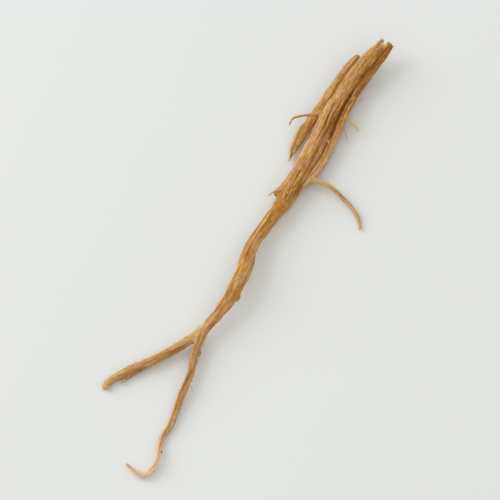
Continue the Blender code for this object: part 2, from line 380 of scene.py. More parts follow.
def tube(shell, points, grid, furrows, cut_ends):
    """Adds one strand to the shell and returns what is needed to find places on it."""
    sides, spacing = grid
    along, rows = smooth_line(points, spacing)
    total = along[-1]
    tangent, side, up = frames(rows)
    radius = rows[:, 3].copy()
    for end, distance in enumerate((along, total - along)):
        if cut_ends[end]:
            inset = np.maximum(0.0, 1 - distance / (CUT_REACH * radius))
            radius = radius * (1 - CUT_NARROWING * inset**2)
        else:
            inset = np.maximum(0.0, 1 - distance / (ROUND_REACH * radius))
            radius = radius * np.sqrt(np.maximum(ROUND_LEAST, 1 - inset**2))
    angle = np.linspace(0.0, 2 * math.pi, sides, endpoint=False)[None, :]
    reach = radius[:, None] * kept_share(angle, along[:, None], total, furrows)
    offset = side[:, None, :] * np.cos(angle)[..., None] + up[:, None, :] * np.sin(angle)[..., None]
    rings = rows[:, None, :3] + offset * reach[..., None]
    count = len(rows)
    faces = []
    for i in range(count - 1):
        for k in range(sides):
            a, b = i * sides + k, i * sides + (k + 1) % sides
            faces.append((a, b, b + sides, a + sides))
    ends = []
    for i, sign in ((0, -1.0), (count - 1, 1.0)):
        ends.append(rings[i].mean(axis=0) + tangent[i] * sign * END_BULGE * rows[i, 3])
        middle = count * sides + len(ends) - 1
        for k in range(sides):
            a, b = i * sides + k, i * sides + (k + 1) % sides
            faces.append((b, a, middle) if i == 0 else (a, b, middle))
    shell.add(np.concatenate([rings.reshape(-1, 3), ends]), faces)
    return {"along": along, "rows": rows, "frames": (tangent, side, up), "length": total}


def knob(shell, place, radius):
    """Adds a low knob, drawn out along the root, to the shell."""
    turns, levels = 16, 8
    run = np.array(KNOB_RUN) / np.linalg.norm(KNOB_RUN)
    points, faces = [], []
    for i in range(1, levels):
        lean = math.pi * i / levels
        for k in range(turns):
            turn = 2 * math.pi * k / turns
            ring = radius * math.sin(lean)
            points.append((ring * math.cos(turn), ring * math.sin(turn), radius * math.cos(lean)))
    top, bottom = len(points), len(points) + 1
    points += [(0.0, 0.0, radius), (0.0, 0.0, -radius)]
    for i in range(levels - 2):
        for k in range(turns):
            a, b = i * turns + k, i * turns + (k + 1) % turns
            faces.append((a, a + turns, b + turns, b))
    for k in range(turns):
        faces.append((top, k, (k + 1) % turns))
        last = (levels - 2) * turns
        faces.append((bottom, last + (k + 1) % turns, last + k))
    points = np.array(points)
    points = points + np.outer(points @ run, run) * (KNOB_STRETCH - 1) + np.array(place)
    shell.add(points, faces)


def stub_paths(rng, hosts):
    """Centre lines of the short rootlets that leave their strand sideways."""
    paths = []
    for n in range(STUB_COUNT):
        _, rows = smooth_line(hosts[n % len(hosts)], 1.0)
        i = int(len(rows) * rng.uniform(*STUB_SPAN))
        x, y, z, radius = rows[i]
        tangent = Vector(rows[i + 1, :3] - rows[i - 1, :3]).normalized()
        side = tangent.cross(Vector((0, 0, 1))).normalized() * rng.choice((-1, 1))
        lift = rng.uniform(*STUB_LIFT)
        bend = rng.uniform(*STUB_BEND)
        out = (side * math.cos(lift) + Vector((0, 0, math.sin(lift)))).normalized()
        root = Vector((x, y, z)) + out * (radius - STUB_SINK)
        thick = rng.uniform(*STUB_RADIUS)
        reach = rng.uniform(*STUB_LENGTH)
        path = []
        for step in range(4):
            t = step / 3
            place = root + out * (reach * t) + tangent * (bend * reach * t * t)
            place.z = max(thick, place.z - STUB_DROOP * reach * t * t)
            path.append((*place, thick * (1 - STUB_TAPER * t)))
        paths.append(path)
    return paths


# Noise and the wrinkled skin.
GRADIENT_SEED = 5
draws = np.random.default_rng(GRADIENT_SEED).normal(size=(256, 3))
GRADIENTS = draws / np.linalg.norm(draws, axis=1)[:, None]
NOISE_GAIN = 1.5
# Patterns of the skin, with their width round the strand and their length along it. Each "reach" says where
# the pattern before it is found.
SKIN_PATTERNS = {
    "turn": (3.0, 20.0),
    "twist": (1.5, 6.0),
    "broad": (1.6, 22.0),
    "fold": (1.3, 24.0),
    "fold reach": (4.0, 16.0),
    "line": (0.8, 13.0),
    "line reach": (2.5, 9.0),
    "fine": (0.42, 5.0),
    "crack": (2.2, 0.9),
    "crack reach": (2.0, 6.0),
    "lump": (1.2, 1.7),
    "grit": (0.6, 0.85),
    "pit": (0.75, 0.75),
}
# How far apart the patterns are taken from the noise.
PATTERN_SHIFT = 17.3
# Radius from which on the skin has its full relief, and the heights and depths of the patterns there.
FULL_RADIUS = 2.2
BROAD_RISE = 0.18
FOLD_DEPTH = 0.32
LINE_DEPTH = 0.17
FINE_RISE = 0.06
CRACK_DEPTH = 0.12
LUMP_RISE = 0.12
GRIT_RISE = 0.06
PIT_DEPTH = 0.14


def noise(places, seed):
    """Smooth noise from about -1 to 1 at each place, one cell a unit."""
    cell = np.floor(places).astype(np.int64)
    part = places - cell
    ease = part**3 * (part * (part * 6 - 15) + 10)
    total = np.zeros(len(places))
    for corner in itertools.product((0, 1), repeat=3):
        # The cell's corner and the seed are mixed into one number, which picks the slope there.
        c = cell + corner
        mixed = (c[:, 0] * 73856093) ^ (c[:, 1] * 19349663) ^ (c[:, 2] * 83492791) ^ (seed * 26544357)
        mixed = mixed & 0xFFFFFFFF
        mixed = ((mixed ^ (mixed >> 15)) * 73244475) & 0xFFFFFFFF
        mixed = ((mixed ^ (mixed >> 13)) * 1274126177) & 0xFFFFFFFF
        slope = GRADIENTS[(mixed >> 16) & 255]
        value = ((part - corner) * slope).sum(axis=1)
        weight = np.prod(np.where(np.array(corner) == 1, ease, 1 - ease), axis=1)
        total += weight * value
    return total * NOISE_GAIN


def crease(value, width):
    """A narrow valley where the noise passes through zero."""
    return np.exp(-((value / width) ** 2))


def skin(angle, along, radius, seed):
    """Height of the wrinkled skin in millimetres, how deep in a fold each place is, which later darkens the
    colour as painted shade, and how high up on a raised crest it is, which later lightens it as a painted
    highlight.
    """
    round_x, round_y = radius * np.cos(angle), radius * np.sin(angle)

    def field(name):
        width, length = SKIN_PATTERNS[name]
        k = list(SKIN_PATTERNS).index(name) + 1
        spot = np.stack([round_x / width, round_y / width, along / length], axis=1)
        return noise(spot + PATTERN_SHIFT * k, seed + k)

    turn = 0.3 * field("turn") + 0.1 * field("twist")
    bent = angle + turn / np.maximum(0.6, radius / FULL_RADIUS)
    round_x, round_y = radius * np.cos(bent), radius * np.sin(bent)
    size = np.clip(radius / FULL_RADIUS, 0.5, 1.0)
    broad = field("broad")
    fold = crease(field("fold"), 0.12) * fade(field("fold reach"), -0.35, 0.3)
    line = crease(field("line"), 0.11) * fade(field("line reach"), -0.2, 0.45)
    fine = field("fine")
    crack = crease(field("crack"), 0.1) * fade(field("crack reach"), 0.1, 0.55)
    lump = field("lump")
    grit = field("grit")
    pit = fade(field("pit"), 0.45, 0.8)
    height = BROAD_RISE * broad - FOLD_DEPTH * fold - LINE_DEPTH * line + FINE_RISE * fine
    height = height - CRACK_DEPTH * crack
    height = size * (height + LUMP_RISE * lump + GRIT_RISE * grit - PIT_DEPTH * pit)
    # Folds, lines, cracks and pits are later painted darker as shade, less so on broad swells.
    painted_shade_and_scars = np.clip(fold + 0.7 * line + 0.4 * crack + 0.6 * pit - 0.3 * broad, 0.0, 1.3)
    # Broad swells, lumps and grit are later painted lighter as a highlight, except in folds and lines.
    ridge_highlight = np.clip(0.5 * broad + 0.5 * lump + 0.35 * grit - 0.6 * fold - 0.4 * line, 0.0, 1.0)
    return height, painted_shade_and_scars, ridge_highlight


rng = random.Random(SEED)
shell = Shell()
strands = []
for points, count, depth, cut_ends in STRANDS:
    grid, run = (MAIN_GRID, MAIN_RUN) if points is MAIN_STRAND else (STRAND_GRID, STRAND_RUN)
    strands.append(tube(shell, points, grid, draw_furrows(rng, count, run, depth), cut_ends))
for place in KNOBS:
    knob(shell, place[:3], place[3])
for path in stub_paths(random.Random(STUB_SEED), STUB_HOSTS):
    strands.append(tube(shell, path, STUB_GRID, (), (True, False)))


def keep_largest_shell(mesh):
    """Removes every closed shell of the mesh but the largest."""
    cage = bmesh.new()
    cage.from_mesh(mesh)
    cage.verts.ensure_lookup_table()
    seen = [False] * len(cage.verts)
    shells = []
    for start in cage.verts:
        if seen[start.index]:
            continue
        seen[start.index] = True
        reached = [start]
        for point in reached:
            for edge in point.link_edges:
                other = edge.other_vert(point)
                if not seen[other.index]:
                    seen[other.index] = True
                    reached.append(other)
        shells.append(reached)
    shells.sort(key=len)
    for reached in shells[:-1]:
        bmesh.ops.delete(cage, geom=reached, context="VERTS")
    cage.to_mesh(mesh)
    cage.free()


base = bpy.data.objects.new("dried_root", shell.mesh("dried_root"))
bpy.context.scene.collection.objects.link(base)
remesh = base.modifiers.new("fuse", "REMESH")
remesh.mode = "VOXEL"
remesh.voxel_size = VOXEL
bpy.context.view_layer.objects.active = base
bpy.ops.object.modifier_apply(modifier=remesh.name)
data = base.data
keep_largest_shell(data)

count = len(data.vertices)
places = np.empty(count * 3)
data.vertices.foreach_get("co", places)
places = places.reshape(-1, 3)
edges = np.empty(len(data.edges) * 2, dtype=np.int64)
data.edges.foreach_get("vertices", edges)
edges = edges.reshape(-1, 2)
links = np.bincount(edges.ravel(), minlength=count)


def relax(values, share, rounds):
    """Moves each value towards the mean of its neighbours."""
    for _ in range(rounds):
        near = np.zeros_like(values)
        for k in range(values.shape[1]):
            near[:, k] = np.bincount(edges[:, 0], values[edges[:, 1], k], count)
            near[:, k] += np.bincount(edges[:, 1], values[edges[:, 0], k], count)
        values = values + share * (near / np.maximum(1, links)[:, None] - values)
    return values


# How many places are compared with a strand at a time.
BATCH = 8192


def on_strand(strand, places):
    """Distance along, angle round, distance from the centre line and local radius for each place."""
    rows = strand["rows"]
    best = np.zeros(len(places), dtype=np.int64)
    for start in range(0, len(places), BATCH):
        part = places[start : start + BATCH]
        gaps = ((part[:, None, :] - rows[None, :, :3]) ** 2).sum(axis=2)
        best[start : start + BATCH] = gaps.argmin(axis=1)
    tangent, side, up = (f[best] for f in strand["frames"])
    away = places - rows[best, :3]
    ahead = (away * tangent).sum(axis=1)
    along = strand["along"][best] + np.clip(ahead, -1.0, 1.0)
    x = (away * side).sum(axis=1)
    y = (away * up).sum(axis=1)
    gap = np.sqrt(x * x + y * y + (np.abs(ahead) - np.abs(np.clip(ahead, -0.5, 0.5))) ** 2)
    return along, np.arctan2(y, x), gap, rows[best, 3]


# The junctions between strands are rounded, and the skin is wrinkled along whichever strand a place is on.
located = [on_strand(s, places) for s in strands]
depth = np.stack([gap - radius for _, _, gap, radius in located])
order = np.sort(depth, axis=0)
between = order[1] - order[0]
junction = np.exp(-((between / JUNCTION_WIDTH) ** 2))[:, None]
places = relax(places, SKIN_EASE, SKIN_ROUNDS)
for _ in range(JUNCTION_ROUNDS):
    moved = relax(places, JUNCTION_EASE, 1)
    places = places + junction * (moved - places)

nearest = depth.argmin(axis=0)
second = np.argsort(depth, axis=0)[1]
# A narrow slit has opened between the main and the right strand along part of the head.
along_right = located[RIGHT][0]
slit = np.exp(-((between / SLIT_WIDTH) ** 2)) * (np.minimum(nearest, second) == MAIN)
slit *= np.maximum(nearest, second) == RIGHT
slit *= fade(along_right, *SLIT[:2]) * (1 - fade(along_right, *SLIT[2:]))

weights = np.exp(-(depth - depth.min(axis=0)) / BLEND)
weights /= weights.sum(axis=0)
height, painted_shade_and_scars, ridge_highlight = np.zeros(count), np.zeros(count), np.zeros(count)
for k, (along, angle, gap, radius) in enumerate(located):
    on = weights[k] > LEAST_WEIGHT
    rise, deep, proud = skin(angle[on], along[on], radius[on], 100 * k)
    height[on] += weights[k][on] * rise * COARSENESS.get(k, 1.0)
    painted_shade_and_scars[on] += weights[k][on] * deep
    ridge_highlight[on] += weights[k][on] * proud

data.vertices.foreach_set("co", places.ravel())
data.update()
normals = np.empty(count * 3)
data.vertices.foreach_get("normal", normals)
normals = normals.reshape(-1, 3)
# The slit is open from above only.
slit *= fade(normals[:, 2], -0.2, 0.3)
places = places + normals * (height - SLIT_DEPTH * slit)[:, None]
jagged = noise(places / TEAR_CELLS[0], 900) + 0.6 * noise(places / TEAR_CELLS[1], 901)
torn = np.isin(nearest, (LEG_LEFT, PRONG)) * fade(located[LEG_LEFT][0], *TORN)
places = places + normals * (TORN_DEPTH * torn * jagged)[:, None]
# The slit and the broken ends are evened out a little, so that few faces cross there.
calm = slit.copy()
for k, last in BROKEN_ENDS:
    along = located[k][0]
    if last:
        along = strands[k]["length"] - along
    near = (nearest == k) * (1 - fade(along, *TEAR_REACH))
    tangent = strands[k]["frames"][0][-1 if last else 0]
    places = places + (near * jagged * TEAR_DEPTH)[:, None] * tangent
    calm = np.maximum(calm, near)
for _ in range(TORN_ROUNDS):
    places = places + calm[:, None] * (relax(places, TORN_EASE, 1) - places)
places[:, 2] = np.maximum(places[:, 2], 0.0)

# Shade is painted as a dark line where two strands grew side by side, but not where the legs leave the main
# strand.
side_by_side = (nearest <= CREST) & (second <= CREST)
side_by_side |= (np.minimum(nearest, second) == LEG_LEFT) & (np.maximum(nearest, second) == PRONG)
groove = np.exp(-((between / GROOVE_WIDTH) ** 2)) * side_by_side
painted_shade_and_scars = np.clip(painted_shade_and_scars + GROOVE_SHADE * groove, 0.0, GROOVE_SHADE)
# The slit is painted darker still, as shade.
painted_shade_and_scars = np.maximum(painted_shade_and_scars, SLIT_SHADE * slit)

# Where each face's corners lie round and along the strand that the face belongs to. A face has one strand,
# so that no pattern is squeezed into the faces between two strands.
corner = np.empty(len(data.loops), dtype=np.int64)
data.loops.foreach_get("vertex_index", corner)
first = np.empty(len(data.polygons), dtype=np.int64)
data.polygons.foreach_get("loop_start", first)
share = np.empty(len(data.polygons), dtype=np.int64)
data.polygons.foreach_get("loop_total", share)
corner_strand = np.repeat(nearest[corner[first]], share)
# Each strand has its own place in the patterns.
FLOW_SHIFT = (11.0, 7.0, 31.0)
flow = np.empty((len(corner), 3))
for k, (along, angle, gap, radius) in enumerate(located):
    on = corner_strand == k
    at = corner[on]
    flow[on, 0] = radius[at] * np.cos(angle[at]) + FLOW_SHIFT[0] * k
    flow[on, 1] = radius[at] * np.sin(angle[at]) + FLOW_SHIFT[1] * k
    flow[on, 2] = along[at] + FLOW_SHIFT[2] * k


# Tones of the strands, from 0 to about 1. In them, along is the distance from the strand's first end, and
# lean is 0 on the side that faces left as seen from the legs and 1 on the side that faces right.
# The key lamp lights the side where lean is 0, so tones that follow lean carry painted light and shade.


def until(value, full, gone):
    """1 up to full, fading to 0 at gone."""
    return 1 - fade(value, full, gone)


def stretch(value, start, full, waning, gone):
    """Rises from 0 at start to 1 at full, and fades again from waning to gone."""
    return fade(value, start, full) * until(value, waning, gone)


def main_tones(along, lean, length):
    """A cream crown, a painted highlight along the lit left flank down to the waist, a rosy head whose right
    flank is tawny, partly its own tone and partly painted shade, and is darkened further with painted shade,
    and a golden body with a tawny waist.
    """
    head = until(along, 30.0, 48.0)
    pale = 0.8 * until(along, 0.0, 1.2) + 0.15 * fade(along, 100.0, 108.0)
    # The tawny right flank of the head is partly its own tone and partly painted shade on the side turned
    # from the key lamp.
    tawny = fade(lean, 0.4, 0.8) * head + 0.75 * stretch(along, 42.0, 50.0, 58.0, 72.0)
    return {
        # The left flank, which the key lamp lights, gets a painted highlight down to the waist.
        "pale": pale + 0.2 * until(lean, 0.08, 0.3) * until(along, 50.0, 60.0),
        "rosy": 0.8 * stretch(along, 0.8, 3.0, 40.0, 62.0) + 0.1,
        "gold": 0.5 * until(along, 0.8, 3.0) + 0.3 * fade(along, 50.0, 66.0),
        "tawny": tawny + 0.3 * fade(along, 60.0, 72.0),
        # Painted shade on the right flank of the head.
        "painted_shade_and_scars": 0.15 * fade(lean, 0.6, 0.9) * head,
    }


def right_tones(along, lean, length):
    """Tawny at the head, partly its own tone and partly painted shade, and darkened there with painted shade
    beside the main strand; lighter and golden further down.
    """
    return {
        "pale": 0.65 * until(along, 0.0, 1.0) + 0.12 * fade(along, 26.0, 38.0),
        "gold": 0.4 * fade(along, 24.0, 36.0),
        "rosy": 0.3 * fade(along, 18.0, 30.0),
        # The tawny head is partly its own tone and partly painted shade.
        "tawny": 1.0 - 0.65 * fade(along, 18.0, 34.0),
        # Painted shade at the head, beside the main strand.
        "painted_shade_and_scars": 0.22 * until(along, 12.0, 24.0),
    }


def left_tones(along, lean, length):
    """A rosy upper lobe, then golden with a right flank that is tawny, partly its own tone and partly painted
    shade, and a pale tip.
    """
    lobe = until(along, 9.0, 15.0)
    return {
        "pale": 0.5 * fade(along, length - 2.5, length),
        "gold": 0.8 - 0.5 * lobe,
        "rosy": 0.7 * lobe,
        # The right flank, turned from the key lamp, is tawny: partly its own tone and partly painted shade.
        "tawny": 0.9 * fade(lean, 0.25, 0.7) * fade(along, 14.0, 24.0),
    }


def fibre_tones(along, lean, length):
    """Pale gold, palest at the tip."""
    return {"pale": 0.5 * fade(along, length - 2.5, length) + 0.5, "gold": 0.8}


def crest_tones(along, lean, length):
    """Gold, with a cream broken end."""
    return {"pale": 0.3 + 0.6 * fade(along, 2.0, length), "gold": 0.8}


def left_leg_tones(along, lean, length):
    """Light at the fork, partly its own paler tone and partly painted light that lifts the shade there, tawny
    in the middle, golden at the torn tip, and rosy along its upper side, partly its own tone and partly a
    painted highlight where the key lamp falls.
    """
    pale = 0.3 * fade(along, length - 3.0, length) + 0.18
    return {
        # Near the fork the leg is painted lighter, partly its own tone and partly painted light that lifts
        # the shade.
        "pale": pale + 0.2 * until(along, 8.0, 13.0),
        "gold": 0.3 + 0.4 * fade(along, length - 8.0, length - 3.0),
        "tawny": 0.7 * stretch(along, 9.0, 15.0, length - 9.0, length - 4.0),
        # The rosy upper side, which the key lamp lights, is partly its own tone and partly a painted
        # highlight.
        "rosy": 0.45 * until(lean, 0.1, 0.4) + 0.3 * until(along, 6.0, 12.0),
    }


def prong_tones(along, lean, length):
    """Light, palest at the tip."""
    return {"pale": 0.25 + 0.5 * fade(along, length - 2.5, length)}


def right_leg_tones(along, lean, length):
    """A little tawny at the fork, and from the knee down ever paler and rosier to the hooked tip."""
    pale = 0.15 + 0.75 * fade(along, length - 23.0, length - 13.0)
    return {
        "pale": pale + 0.3 * fade(along, length - 8.0, length),
        "rosy": 0.35 + 0.4 * fade(along, length - 24.0, length - 16.0),
        "tawny": 0.35 * until(along, 14.0, 26.0),
    }


TONES = {
    MAIN: main_tones,
    LEFT: left_tones,
    RIGHT: right_tones,
    FIBRE: fibre_tones,
    CREST: crest_tones,
    LEG_LEFT: left_leg_tones,
    PRONG: prong_tones,
    LEG_RIGHT: right_leg_tones,
}
PLAIN_TONES = {
    FLANK: {"gold": 0.6, "pale": 0.25, "tawny": 0.1},
    CROSSING: {"rosy": 1.0},
    PALE: {"gold": 1.0, "pale": 0.7},
}
STUB_TONES = {"gold": 0.5, "pale": 0.2}
# The painted shade in the folds of the left leg is lighter than the other strands'.
FOLD_SHADE_SHARE = {LEG_LEFT: 0.8}

tones = {name: np.zeros(count) for name in ("pale", "gold", "rosy", "tawny")}
for k, (along, angle, gap, radius) in enumerate(located):
    on = nearest == k
    lean = 0.5 - 0.5 * np.cos(angle[on])
    if k in TONES:
        made = TONES[k](along[on], lean, strands[k]["length"])
    else:
        made = PLAIN_TONES.get(k, STUB_TONES)
    for name, values in tones.items():
        values[on] = made.get(name, 0.0)
    painted_shade_and_scars[on] = painted_shade_and_scars[on] * FOLD_SHADE_SHARE.get(k, 1.0) + made.get("painted_shade_and_scars", 0.0)


def darken(painted_shade_and_scars, place, dark, inner, outer):
    """Makes a ragged spot as dark as said, full up to the inner distance and gone at the outer one."""
    away = np.linalg.norm(places - place, axis=1) + 0.3 * jagged
    return np.maximum(painted_shade_and_scars, dark * until(away, inner, outer))


for x, y, z, radius in KNOBS:
    if radius < SMALL_KNOB:
        painted_shade_and_scars = darken(painted_shade_and_scars, (x + 0.5 * radius, y, z), KNOB_DARK, 0.5 * radius, 1.5 * radius)
for x, y, z, radius in DARK_SPOTS:
    painted_shade_and_scars = darken(painted_shade_and_scars, (x, y, z), SCAR_DARK, 0.4 * radius, 1.6 * radius)

skin_places = places
places = (places - CENTRE) * MM
data.vertices.foreach_set("co", places.ravel())
data.update()
for face in data.polygons:
    face.use_smooth = True


def add_values(mesh, name, values):
    """Stores one vector at each corner, or one number at each point."""
    if values.ndim == 2:
        attribute = mesh.attributes.new(name, "FLOAT_VECTOR", "CORNER")
        attribute.data.foreach_set("vector", values.ravel())
    else:
        attribute = mesh.attributes.new(name, "FLOAT", "POINT")
        attribute.data.foreach_set("value", values)


add_values(data, "flow", flow)
add_values(data, "painted_shade_and_scars", painted_shade_and_scars)
add_values(data, "ridge_highlight", ridge_highlight)
for name, values in tones.items():
    add_values(data, name, values)


# Hairs and splinters: closed tapering tubes that start inside the skin.
FIBRE_SEED = 77
HAIR_COUNT = 60
HAIR_RINGS = 7
HAIR_SIDES = 5
HAIR_TAPER = 0.75
# How far a hair keeps from the surface that the root lies on and from the top of the solid's box.
CLEARANCE = 0.02
HAIR_RADIUS = (0.05, 0.1)
HAIR_LENGTH = (0.5, 1.7)
# How strongly a hair points along its strand, out of the skin and astray, how far it starts inside the skin,
# and the least height at which one grows.
HAIR_ALONG = (0.6, 1.2)
HAIR_OUT = (0.2, 0.6)
HAIR_STRAY = 0.25
HAIR_SINK = 0.25
HAIR_FLOOR = 0.7
SPLINTER_RADIUS = (0.09, 0.2)
SPLINTER_LENGTH = (0.7, 2.0)
# How far from the centre line a splinter starts, as a share of the radius, at an end of a strand and
# elsewhere, and what share of the strand counts as its end.
END_DEPTH = (0.35, 0.8)
SIDE_DEPTH = 0.85
NEAR_END = 0.04
# How far back along its own direction a splinter starts.
SPLINTER_SINK = 0.4
# Strand, the share of its length between which the splinters start, how many, how far they lean out, how
# thick and how long they are against the usual.
SPLINTERS = (
    (MAIN, (0.0, 0.004), 14, 0.25, 1.8, 0.6),
    (RIGHT, (0.0, 0.008), 6, 0.25, 1.7, 0.6),
    (CREST, (0.85, 1.0), 5, 0.3, 1.4, 0.6),
    (LEFT, (0.96, 1.0), 3, 0.3, 1.5, 0.6),
    (FIBRE, (0.9, 1.0), 2, 0.25, 1.3, 0.6),
    (LEG_LEFT, (0.96, 0.99), 9, 0.2, 1.8, 0.75),
    (LEG_LEFT, (0.62, 0.88), 8, 0.45, 1.3, 1.0),
    (PRONG, (0.75, 1.0), 6, 0.3, 1.3, 0.8),
    (FLANK, (0.97, 1.0), 3, 0.3, 1.0, 0.8),
    (RIGHT, (0.3, 0.95), 16, 0.5, 0.75, 2.0),
    (LEFT, (0.3, 0.9), 6, 0.45, 0.7, 1.6),
    (MAIN, (0.3, 0.95), 14, 0.5, 0.7, 1.5),
)
# No hair stands above the solid's box or sinks into the surface that the root lies on.
TOP = cad_box[1][2] / MM


def hair(shell, start, ahead, curl, length, radius):
    """Adds one tapering hair to the shell."""
    steps, sides = HAIR_RINGS, HAIR_SIDES
    points, faces = [], []
    for i in range(steps):
        t = i / (steps - 1)
        place = start + ahead * (length * t) + curl * (length * t * t)
        thick = radius * (1 - HAIR_TAPER * t)
        place[2] = min(max(place[2], thick + CLEARANCE), TOP - thick - CLEARANCE)
        across = np.cross(ahead + 2 * curl * t, (0.0, 0.0, 1.0))
        across /= np.linalg.norm(across)
        over = np.cross(across, ahead + 2 * curl * t)
        over /= np.linalg.norm(over)
        for k in range(sides):
            turn = 2 * math.pi * k / sides
            points.append(place + thick * (math.cos(turn) * across + math.sin(turn) * over))
    for i in range(steps - 1):
        for k in range(sides):
            a, b = i * sides + k, i * sides + (k + 1) % sides
            faces.append((a + sides, b + sides, b, a))
    faces.append(tuple(range(sides)))
    faces.append(tuple(reversed(range((steps - 1) * sides, steps * sides))))
    shell.add(points, faces)
    return len(points)


def draw_fibres(rng):
    """The shell of all hairs and splinters, and how many points each of them has."""
    fibres = Shell()
    sizes = []
    upper = (normals[:, 2] > -0.1) & (skin_places[:, 2] > HAIR_FLOOR)
    free = np.nonzero(upper & (nearest <= FLANK))[0]
    for _ in range(HAIR_COUNT):
        i = int(free[rng.randrange(len(free))])
        k = int(nearest[i])
        row = int(np.argmin(((strands[k]["rows"][:, :3] - skin_places[i]) ** 2).sum(axis=1)))
        tangent = strands[k]["frames"][0][row]
        ahead = tangent * rng.uniform(*HAIR_ALONG) + normals[i] * rng.uniform(*HAIR_OUT)
        ahead = ahead + np.array([rng.uniform(-HAIR_STRAY, HAIR_STRAY) for _ in range(3)])
        ahead /= np.linalg.norm(ahead)
        curl = np.array([rng.uniform(-0.5, 0.5), rng.uniform(-0.5, 0.5), rng.uniform(-0.7, 0.1)])
        start = skin_places[i] - normals[i] * HAIR_SINK
        sizes.append(hair(fibres, start, ahead, curl, rng.uniform(*HAIR_LENGTH), rng.uniform(*HAIR_RADIUS)))
    for k, (low, high), number, lean, thick_share, long_share in SPLINTERS:
        rows, (tangents, sides, ups) = strands[k]["rows"], strands[k]["frames"]
        for _ in range(number):
            row = int(round(rng.uniform(low, high) * (len(rows) - 1)))
            turn = rng.uniform(0.0, 2 * math.pi)
            out = sides[row] * math.cos(turn) + ups[row] * math.sin(turn)
            ahead = tangents[row] * (-1.0 if high < 0.1 else 1.0) + out * rng.uniform(0.0, lean)
            ahead /= np.linalg.norm(ahead)
            depth_in = rng.uniform(*END_DEPTH) if min(low, 1 - high) < NEAR_END else SIDE_DEPTH
            start = rows[row, :3] + out * rows[row, 3] * depth_in - ahead * SPLINTER_SINK
            curl = np.array([rng.uniform(-0.2, 0.2), rng.uniform(-0.2, 0.2), rng.uniform(-0.2, 0.1)])
            reach = long_share * rng.uniform(*SPLINTER_LENGTH)
            sizes.append(hair(fibres, start, ahead, curl, reach, thick_share * rng.uniform(*SPLINTER_RADIUS)))
    return fibres, sizes


fibres, sizes = draw_fibres(random.Random(FIBRE_SEED))
fibre_places = np.concatenate(fibres.points)
fibre_flow = fibre_places.copy()
fibre_flow[:, 0] += np.repeat(np.arange(len(sizes)) * 3.7, sizes)
fibres.points = [(fibre_places - CENTRE) * MM]
fringe = bpy.data.objects.new("root_fibres", fibres.mesh("root_fibres"))
bpy.context.scene.collection.objects.link(fringe)
for face in fringe.data.polygons:
    face.use_smooth = True
fibre_corner = np.empty(len(fringe.data.loops), dtype=np.int64)
fringe.data.loops.foreach_get("vertex_index", fibre_corner)
add_values(fringe.data, "flow", fibre_flow[fibre_corner])
add_values(fringe.data, "gold", np.full(len(fibre_places), 0.6))
add_values(fringe.data, "pale", np.full(len(fibre_places), 0.25))


# Materials.
class Nodes:
    """Short names for building a node tree."""

    def __init__(self, name):
        self.material = bpy.data.materials.new(name)
        self.material.use_nodes = True
        self.tree = self.material.node_tree
        self.shader = self.tree.nodes["Principled BSDF"]

    def new(self, kind, **settings):
        node = self.tree.nodes.new(kind)
        for key, value in settings.items():
            setattr(node, key, value)
        return node

    def link(self, out, into):
        self.tree.links.new(out, into)

    def attribute(self, name, vector=False):
        node = self.new("ShaderNodeAttribute", attribute_name=name)
        return node.outputs["Vector" if vector else "Fac"]

    def scaled(self, vector, scale, offset=(0, 0, 0)):
        node = self.new("ShaderNodeMapping")
        self.link(vector, node.inputs["Vector"])
        node.inputs["Scale"].default_value = scale
        node.inputs["Location"].default_value = offset
        return node.outputs["Vector"]

    def noise(self, vector, detail, rough, distort):
        node = self.new("ShaderNodeTexNoise")
        self.link(vector, node.inputs["Vector"])
        node.inputs["Scale"].default_value = 1.0
        node.inputs["Detail"].default_value = detail
        node.inputs["Roughness"].default_value = rough
        node.inputs["Distortion"].default_value = distort
        return node.outputs["Fac"]

    def range(self, value, low, high, to_low=0.0, to_high=1.0):
        node = self.new("ShaderNodeMapRange", interpolation_type="SMOOTHSTEP")
        self.link(value, node.inputs["Value"])
        for key, number in (("From Min", low), ("From Max", high), ("To Min", to_low), ("To Max", to_high)):
            node.inputs[key].default_value = number
        return node.outputs["Result"]

    def math(self, operation, a, b):
        node = self.new("ShaderNodeMath", operation=operation)
        for socket, value in zip(node.inputs, (a, b)):
            if isinstance(value, (int, float)):
                socket.default_value = value
            else:
                self.link(value, socket)
        return node.outputs[0]

    def mix(self, share, a, b, blend="MIX"):
        node = self.new("ShaderNodeMix", data_type="RGBA", blend_type=blend)
        for socket, value in ((node.inputs[0], share), (node.inputs[6], a), (node.inputs[7], b)):
            if isinstance(value, (int, float)):
                socket.default_value = value
            elif isinstance(value, tuple):
                socket.default_value = (*value, 1.0)
            else:
                self.link(value, socket)
        return node.outputs[2]

    def coat(self, colour, patterns, coats):
        """Lays each colour on, from where its pattern starts to where it is full, as strong as said."""
        for name, start, full, strength, over in coats:
            colour = self.mix(self.range(patterns[name], start, full, 0.0, strength), colour, over)
        return colour

    def bump(self, height, distance, strength, normal=None):
        node = self.new("ShaderNodeBump")
        node.inputs["Distance"].default_value = distance
        node.inputs["Strength"].default_value = strength
        self.link(height, node.inputs["Height"])
        if normal is not None:
            self.link(normal, node.inputs["Normal"])
        return node.outputs["Normal"]


TAN = (0.50, 0.255, 0.062)
LIGHT = (0.70, 0.455, 0.19)
PINK = (0.55, 0.275, 0.12)
GOLD = (0.60, 0.35, 0.09)
TAWNY = (0.46, 0.175, 0.013)
ORANGE = (0.37, 0.135, 0.014)
ROSE = (0.58, 0.32, 0.23)
OLIVE = (0.53, 0.33, 0.05)
DARK = (0.13, 0.045, 0.012)
CREAM = (0.90, 0.69, 0.42)
SALMON = (0.98, 0.65, 0.46)


